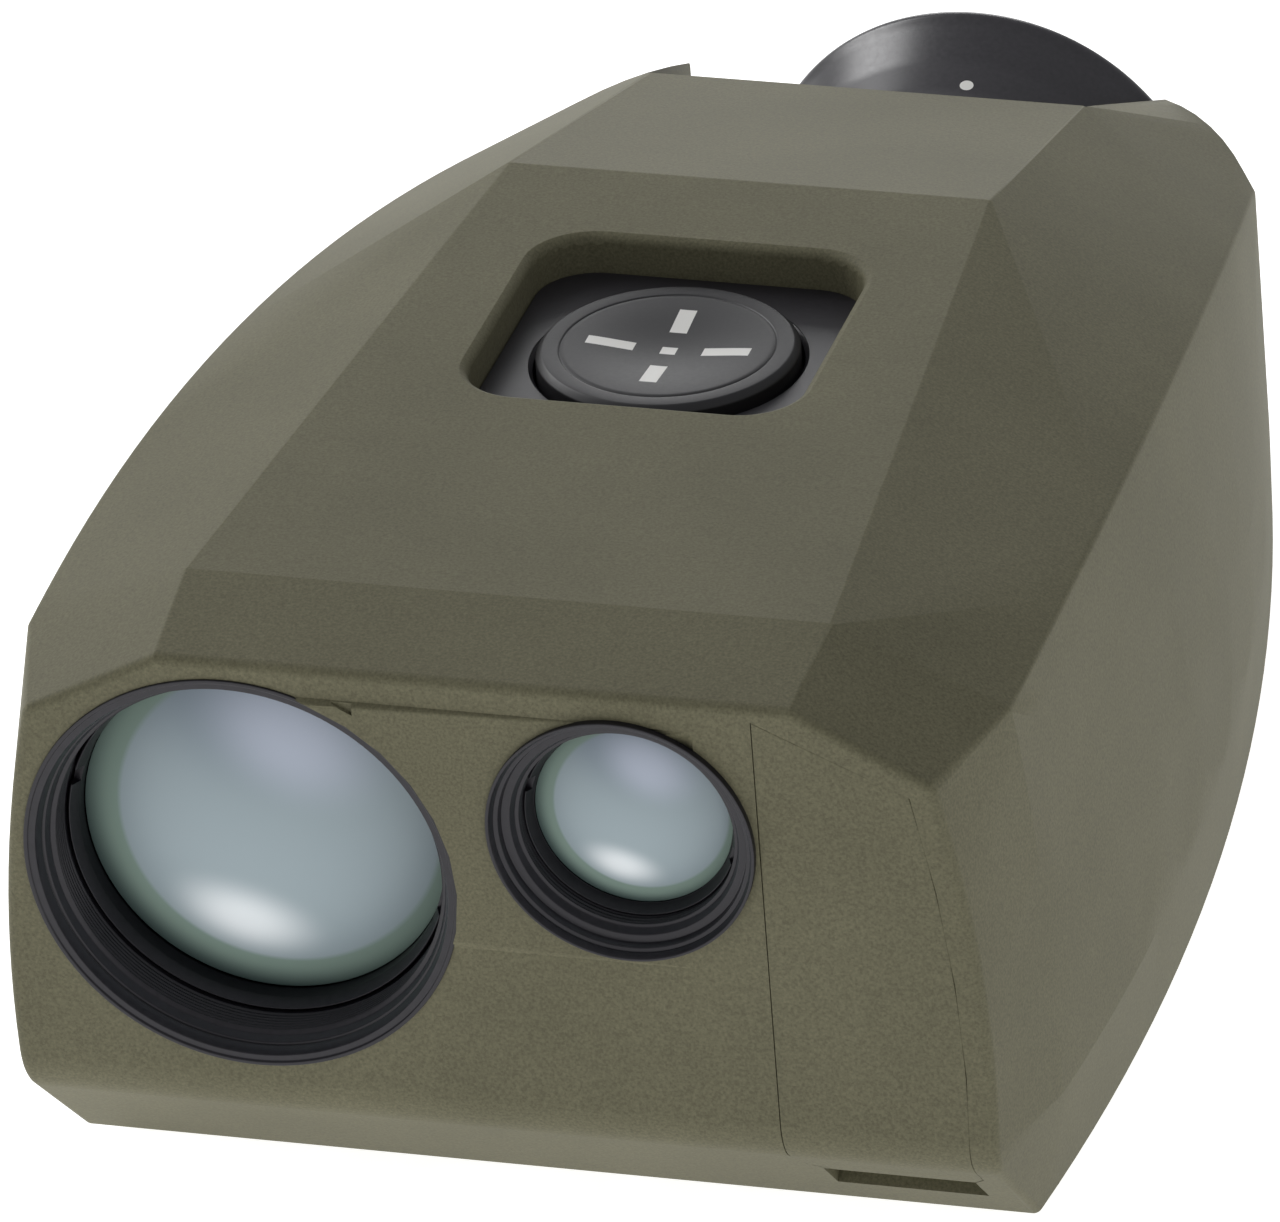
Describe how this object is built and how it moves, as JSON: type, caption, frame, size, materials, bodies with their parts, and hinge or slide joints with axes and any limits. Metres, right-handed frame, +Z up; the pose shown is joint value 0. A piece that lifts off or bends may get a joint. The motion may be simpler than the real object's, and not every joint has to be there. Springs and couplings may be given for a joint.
{
  "type": "laser rangefinder",
  "caption": "Pocket laser rangefinder: faceted olive body, large receiver and small sight lens, battery flap, roof button and dioptre eyecup.",
  "frame": {"origin": "centre of the footprint of the overall box, on the plane of the base cover's underside", "axes": "+Z up; -Y the way the lenses look; +Y towards the eyepiece; +X to the right for someone who faces the lenses"},
  "size_m": [0.0758, 0.1176, 0.0479],
  "materials": {
    "olive_coat": "fine speckled matt soft-touch coat, olive",
    "black_anodised": "black anodised, satin",
    "black_plastic": "black moulded plastic, satin",
    "rubber_black": "soft black rubber",
    "coated_glass": "polished, grey-blue coating",
    "clear_glass": "polished optical glass",
    "steel": "plain stainless",
    "brass": "turned brass",
    "circuit": "green solder mask",
    "aluminium": "machined aluminium",
    "cell_can": "wrapped battery can",
    "flex_film": "amber polyimide film",
    "gloss_cap": "shrink-sleeved capacitor"
  },
  "bodies": {
    "body": {"main_housing": "olive_coat", "base_cover": "olive_coat", "base_gasket": "rubber_black", "base_screw_1": "steel", "base_screw_2": "steel", "base_screw_3": "steel", "base_screw_4": "steel", "tripod_bush": "brass", "front_bulkhead": "aluminium", "bulkhead_screw_1": "steel", "bulkhead_screw_2": "steel", "rear_cover": "black_anodised", "rear_screw_1": "steel", "rear_screw_2": "steel", "rear_screw_3": "steel", "button_plate": "black_plastic", "button_membrane": "rubber_black", "button_switch": "steel", "switch_board": "circuit", "receiver_barrel": "black_anodised", "receiver_lens": "coated_glass", "receiver_lens_ring": "black_anodised", "receiver_seal": "rubber_black", "detector_can": "steel", "detector_board": "circuit", "detector_flex": "flex_film", "sight_barrel": "black_anodised", "sight_lens": "coated_glass", "sight_lens_ring": "black_anodised", "sight_seal": "rubber_black", "beam_splitter": "clear_glass", "laser_module": "brass", "erecting_prism": "clear_glass", "prism_cradle": "aluminium", "eyepiece_tube": "black_anodised", "eyepiece_seal": "rubber_black", "field_lens": "clear_glass", "reticle_cube": "clear_glass", "range_display": "black_plastic", "battery_sleeve": "black_plastic", "battery_cell_upper": "cell_can", "battery_cell_lower": "cell_can", "contact_board": "circuit", "contact_button": "brass", "contact_spring": "steel", "main_board": "circuit", "processor_chip": "black_plastic", "pulse_capacitor": "gloss_cap"},
    "flap": {"battery_flap": "olive_coat", "flap_seal": "rubber_black", "flap_contact": "brass"},
    "button": {"fire_button": "black_plastic"},
    "dioptre_ring": {"eyecup": "black_plastic"},
    "eye_cell": {"eye_lens_cell": "black_anodised", "eye_lens": "clear_glass"}
  },
  "joints": [
    {"name": "flap_hinge", "type": "hinge", "parent": "body", "child": "flap", "pos_m": [0.0196, -0.0584, 0.0452], "axis": [-0.9057, 0, 0.4239], "range_deg": [0, 95]},
    {"name": "button_press", "type": "slide", "parent": "body", "child": "button", "axis": [0, -0.0473, -0.9989], "range_m": [0, 0.0008], "stiffness_N_per_m": 2000, "springref_m": -0.0004},
    {"name": "dioptre_turn", "type": "hinge", "parent": "body", "child": "dioptre_ring", "pos_m": [0.0042, 0.0516, 0.0172], "axis": [0, 1, 0], "range_deg": [-60, 60]},
    {"name": "eye_cell_slide", "type": "slide", "parent": "body", "child": "eye_cell", "axis": [0, 1, 0], "range_m": [-0.0015, 0.0015]}
  ],
  "couplings": [
    {"joint": "eye_cell_slide", "follows": "dioptre_turn", "m_per_rad": 0.00143}
  ]
}
